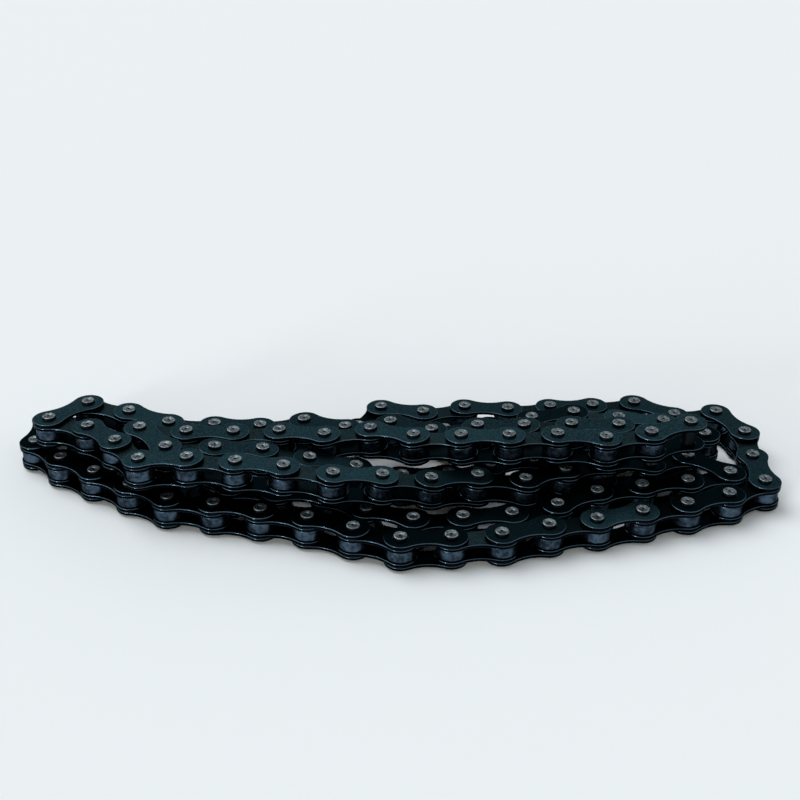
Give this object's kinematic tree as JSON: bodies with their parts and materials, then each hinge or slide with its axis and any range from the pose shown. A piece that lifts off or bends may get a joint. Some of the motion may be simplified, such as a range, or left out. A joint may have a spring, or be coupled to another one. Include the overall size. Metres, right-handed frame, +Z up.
{
  "type": "roller chain",
  "caption": "Half-inch pitch roller chain, open at both ends, lying folded in a long flat heap; its free end links swing on their pins and their rollers turn.",
  "frame": {"origin": "centre of the heap's footprint, on the surface it lies on", "axes": "+X along the heap to the end where the upper strand stops, +Y across it towards the higher rear strands, +Z up, along the pins"},
  "size_m": [0.2096, 0.0768, 0.021],
  "materials": {
    "outer_plate_steel": "blued, satin, faintly mottled",
    "inner_plate_steel": "blued, satin, a little darker than the outer plates",
    "pin_steel": "hardened, ground, ends riveted and polished by use",
    "bush_steel": "hardened, dark",
    "roller_steel": "black oxide, smooth, semi-gloss"
  },
  "bodies": {
    "heap": {"rear_upper_outer_plates": "outer_plate_steel", "rear_upper_pins": "pin_steel", "rear_upper_inner_plates": "inner_plate_steel", "rear_upper_bushes": "bush_steel", "rear_upper_rollers": "roller_steel", "front_upper_outer_plates": "outer_plate_steel", "front_upper_pins": "pin_steel", "front_upper_inner_plates": "inner_plate_steel", "front_upper_bushes": "bush_steel", "front_upper_rollers": "roller_steel", "second_row_inner_plates": "inner_plate_steel", "second_row_bushes": "bush_steel", "second_row_rollers": "roller_steel", "second_row_outer_plates": "outer_plate_steel", "second_row_pins": "pin_steel", "front_row_inner_plates": "inner_plate_steel", "front_row_bushes": "bush_steel", "front_row_rollers": "roller_steel", "front_row_outer_plates": "outer_plate_steel", "front_row_pins": "pin_steel", "back_row_outer_plates": "outer_plate_steel", "back_row_pins": "pin_steel", "back_row_inner_plates": "inner_plate_steel", "back_row_bushes": "bush_steel", "back_row_rollers": "roller_steel", "middle_row_outer_plates": "outer_plate_steel", "middle_row_pins": "pin_steel", "middle_row_inner_plates": "inner_plate_steel", "middle_row_bushes": "bush_steel", "middle_row_rollers": "roller_steel", "lower_row_outer_plates": "outer_plate_steel", "lower_row_pins": "pin_steel", "lower_row_inner_plates": "inner_plate_steel", "lower_row_bushes": "bush_steel", "lower_row_rollers": "roller_steel", "top_row_inner_plates": "inner_plate_steel", "top_row_bushes": "bush_steel", "top_row_rollers": "roller_steel", "top_row_outer_plates": "outer_plate_steel", "top_row_pins": "pin_steel"},
    "top_end_link_4": {"top_end_link_4_inner_plates": "inner_plate_steel", "top_end_link_4_bushes": "bush_steel"},
    "top_end_link_3": {"top_end_link_3_outer_plates": "outer_plate_steel", "top_end_link_3_pins": "pin_steel"},
    "top_end_link_2": {"top_end_link_2_inner_plates": "inner_plate_steel", "top_end_link_2_bushes": "bush_steel"},
    "top_end_link_1": {"top_end_link_1_outer_plates": "outer_plate_steel", "top_end_link_1_pins": "pin_steel"},
    "rear_end_link_2": {"rear_end_link_2_inner_plates": "inner_plate_steel", "rear_end_link_2_bushes": "bush_steel"},
    "rear_end_link_1": {"rear_end_link_1_outer_plates": "outer_plate_steel", "rear_end_link_1_pins": "pin_steel"},
    "rear_end_link_2_roller_a": {"rear_end_link_2_roller_a": "roller_steel"},
    "rear_end_link_2_roller_b": {"rear_end_link_2_roller_b": "roller_steel"},
    "top_end_link_4_roller_a": {"top_end_link_4_roller_a": "roller_steel"},
    "top_end_link_4_roller_b": {"top_end_link_4_roller_b": "roller_steel"},
    "top_end_link_2_roller_a": {"top_end_link_2_roller_a": "roller_steel"},
    "top_end_link_2_roller_b": {"top_end_link_2_roller_b": "roller_steel"}
  },
  "joints": [
    {"name": "top_end_swing_4", "type": "hinge", "parent": "heap", "child": "top_end_link_4", "pos_m": [0.03128, -0.00465, 0.01635], "axis": [-0.0442, 0.0035, 0.999], "range_deg": [-3, 0]},
    {"name": "top_end_swing_3", "type": "hinge", "parent": "top_end_link_4", "child": "top_end_link_3", "pos_m": [0.04397, -0.0041, 0.01644], "axis": [-0.0034, 0.0005, 1], "range_deg": [-60, 0]},
    {"name": "top_end_swing_2", "type": "hinge", "parent": "top_end_link_3", "child": "top_end_link_2", "pos_m": [0.05655, -0.00586, 0.01648], "axis": [-0.0034, 0.0005, 1], "range_deg": [-60, 0]},
    {"name": "top_end_swing_1", "type": "hinge", "parent": "top_end_link_2", "child": "top_end_link_1", "pos_m": [0.06899, -0.00333, 0.01653], "axis": [-0.0025, -0.0011, 1], "range_deg": [-60, 45]},
    {"name": "rear_end_swing_2", "type": "hinge", "parent": "heap", "child": "rear_end_link_2", "pos_m": [0.03631, 0.00468, 0.01397], "axis": [-0.0757, 0.0086, 0.9971], "range_deg": [0, 10]},
    {"name": "rear_end_swing_1", "type": "hinge", "parent": "rear_end_link_2", "child": "rear_end_link_1", "pos_m": [0.049, 0.00446, 0.01444], "axis": [-0.0387, 0.0034, 0.9992], "range_deg": [0, 30]},
    {"name": "top_end_link_4_roller_a_spin", "type": "hinge", "parent": "top_end_link_4", "child": "top_end_link_4_roller_a", "pos_m": [0.03128, -0.00465, 0.01635], "axis": [-0.0069, -0.0003, 1], "continuous": true},
    {"name": "top_end_link_4_roller_b_spin", "type": "hinge", "parent": "top_end_link_4", "child": "top_end_link_4_roller_b", "pos_m": [0.04397, -0.0041, 0.01644], "axis": [-0.0069, -0.0003, 1], "continuous": true},
    {"name": "top_end_link_2_roller_a_spin", "type": "hinge", "parent": "top_end_link_2", "child": "top_end_link_2_roller_a", "pos_m": [0.05655, -0.00586, 0.01648], "axis": [-0.0034, -0.0007, 1], "continuous": true},
    {"name": "top_end_link_2_roller_b_spin", "type": "hinge", "parent": "top_end_link_2", "child": "top_end_link_2_roller_b", "pos_m": [0.06899, -0.00333, 0.01653], "axis": [-0.0034, -0.0007, 1], "continuous": true},
    {"name": "rear_end_link_2_roller_a_spin", "type": "hinge", "parent": "rear_end_link_2", "child": "rear_end_link_2_roller_a", "pos_m": [0.049, 0.00446, 0.01444], "axis": [-0.0374, 0.0007, 0.9993], "continuous": true},
    {"name": "rear_end_link_2_roller_b_spin", "type": "hinge", "parent": "rear_end_link_2", "child": "rear_end_link_2_roller_b", "pos_m": [0.03631, 0.00468, 0.01397], "axis": [-0.0374, 0.0007, 0.9993], "continuous": true}
  ]
}
